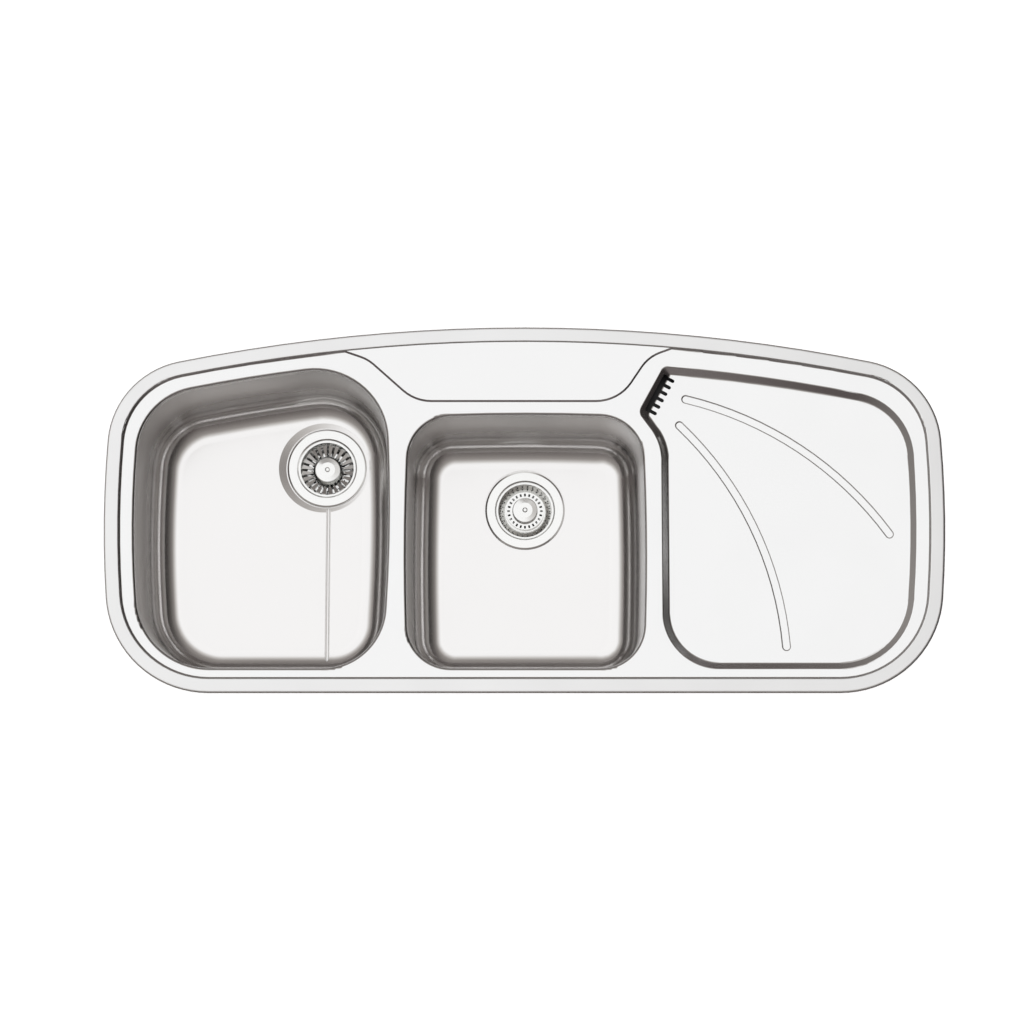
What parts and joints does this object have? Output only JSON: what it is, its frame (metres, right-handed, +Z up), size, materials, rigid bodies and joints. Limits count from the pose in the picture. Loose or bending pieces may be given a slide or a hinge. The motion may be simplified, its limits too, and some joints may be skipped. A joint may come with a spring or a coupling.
{
  "type": "inset kitchen sink",
  "caption": "Inset steel kitchen sink: two bowls, a drainer with curved furrows and outlet slots, a tap ledge, lift-out strainers and worktop clamps.",
  "frame": {"origin": "middle of the sink's length and depth, on the worktop surface that the rim rests on", "axes": "+X along the length towards the drainer, +Y to the back edge with the tap ledge, +Z up"},
  "size_m": [1.1602, 0.513, 0.2748],
  "materials": {
    "deck_steel": "satin",
    "bowl_steel": "satin, brushed walls",
    "polished_steel": "polished",
    "zinc_steel": "zinc plated",
    "black_rubber": "matte",
    "black_plastic": "moulded",
    "grey_foam": "closed-cell foam tape",
    "damping_pad": "bitumen felt"
  },
  "bodies": {
    "root": {"bowl_large": "bowl_steel", "bowl_small": "bowl_steel", "clamp_brackets": "zinc_steel", "deck": "deck_steel", "drainer_outlet_box": "black_plastic", "flange_seal_large": "black_rubber", "flange_seal_small": "black_rubber", "rim_seal": "grey_foam", "sound_pad_large": "damping_pad", "sound_pad_small": "damping_pad", "waste_bolt_large": "polished_steel", "waste_bolt_small": "polished_steel", "waste_cup_large": "polished_steel", "waste_cup_small": "polished_steel", "waste_gasket_large": "black_rubber", "waste_gasket_small": "black_rubber", "waste_housing_large": "black_plastic", "waste_housing_small": "black_plastic"},
    "basket_set_large": {"basket_knob_large": "polished_steel", "basket_large": "polished_steel", "basket_nut_large": "polished_steel", "basket_stopper_large": "black_rubber"},
    "basket_set_small": {"basket_knob_small": "polished_steel", "basket_nut_small": "polished_steel", "basket_small": "polished_steel", "basket_stopper_small": "black_rubber"},
    "arm_1": {"clamp_arm_1": "zinc_steel"},
    "arm_2": {"clamp_arm_2": "zinc_steel"},
    "arm_3": {"clamp_arm_3": "zinc_steel"},
    "arm_4": {"clamp_arm_4": "zinc_steel"},
    "arm_5": {"clamp_arm_5": "zinc_steel"},
    "arm_6": {"clamp_arm_6": "zinc_steel"},
    "arm_7": {"clamp_arm_7": "zinc_steel"},
    "arm_8": {"clamp_arm_8": "zinc_steel"},
    "screw_1": {"clamp_screw_1": "zinc_steel"},
    "screw_2": {"clamp_screw_2": "zinc_steel"},
    "screw_3": {"clamp_screw_3": "zinc_steel"},
    "screw_4": {"clamp_screw_4": "zinc_steel"},
    "screw_5": {"clamp_screw_5": "zinc_steel"},
    "screw_6": {"clamp_screw_6": "zinc_steel"},
    "screw_7": {"clamp_screw_7": "zinc_steel"},
    "screw_8": {"clamp_screw_8": "zinc_steel"}
  },
  "joints": [
    {"name": "basket_large_lift", "type": "slide", "parent": "root", "child": "basket_set_large", "axis": [0, 0, 1], "range_m": [0, 0.2]},
    {"name": "basket_small_lift", "type": "slide", "parent": "root", "child": "basket_set_small", "axis": [0, 0, 1], "range_m": [0, 0.2]},
    {"name": "clamp_screw_1_lift", "type": "slide", "parent": "root", "child": "screw_1", "axis": [0, 0, 1], "range_m": [0, 0.012]},
    {"name": "clamp_arm_1_swing", "type": "hinge", "parent": "screw_1", "child": "arm_1", "pos_m": [-0.4, -0.2315, -0.045], "axis": [0, 0, -1], "range_deg": [0, 90]},
    {"name": "clamp_screw_2_lift", "type": "slide", "parent": "root", "child": "screw_2", "axis": [0, 0, 1], "range_m": [0, 0.012]},
    {"name": "clamp_arm_2_swing", "type": "hinge", "parent": "screw_2", "child": "arm_2", "pos_m": [0, -0.2315, -0.045], "axis": [0, 0, -1], "range_deg": [0, 90]},
    {"name": "clamp_screw_3_lift", "type": "slide", "parent": "root", "child": "screw_3", "axis": [0, 0, 1], "range_m": [0, 0.012]},
    {"name": "clamp_arm_3_swing", "type": "hinge", "parent": "screw_3", "child": "arm_3", "pos_m": [0.4, -0.2315, -0.045], "axis": [0, 0, -1], "range_deg": [0, 90]},
    {"name": "clamp_screw_4_lift", "type": "slide", "parent": "root", "child": "screw_4", "axis": [0, 0, 1], "range_m": [0, 0.012]},
    {"name": "clamp_arm_4_swing", "type": "hinge", "parent": "screw_4", "child": "arm_4", "pos_m": [0.4, 0.19757, -0.045], "axis": [0, 0, -1], "range_deg": [0, 90]},
    {"name": "clamp_screw_5_lift", "type": "slide", "parent": "root", "child": "screw_5", "axis": [0, 0, 1], "range_m": [0, 0.012]},
    {"name": "clamp_arm_5_swing", "type": "hinge", "parent": "screw_5", "child": "arm_5", "pos_m": [0, 0.2315, -0.045], "axis": [0, 0, -1], "range_deg": [0, 90]},
    {"name": "clamp_screw_6_lift", "type": "slide", "parent": "root", "child": "screw_6", "axis": [0, 0, 1], "range_m": [0, 0.012]},
    {"name": "clamp_arm_6_swing", "type": "hinge", "parent": "screw_6", "child": "arm_6", "pos_m": [-0.4, 0.19757, -0.045], "axis": [0, 0, -1], "range_deg": [0, 90]},
    {"name": "clamp_screw_7_lift", "type": "slide", "parent": "root", "child": "screw_7", "axis": [0, 0, 1], "range_m": [0, 0.012]},
    {"name": "clamp_arm_7_swing", "type": "hinge", "parent": "screw_7", "child": "arm_7", "pos_m": [-0.555, 0, -0.045], "axis": [0, 0, -1], "range_deg": [0, 90]},
    {"name": "clamp_screw_8_lift", "type": "slide", "parent": "root", "child": "screw_8", "axis": [0, 0, 1], "range_m": [0, 0.012]},
    {"name": "clamp_arm_8_swing", "type": "hinge", "parent": "screw_8", "child": "arm_8", "pos_m": [0.555, 0, -0.045], "axis": [0, 0, -1], "range_deg": [0, 90]}
  ]
}
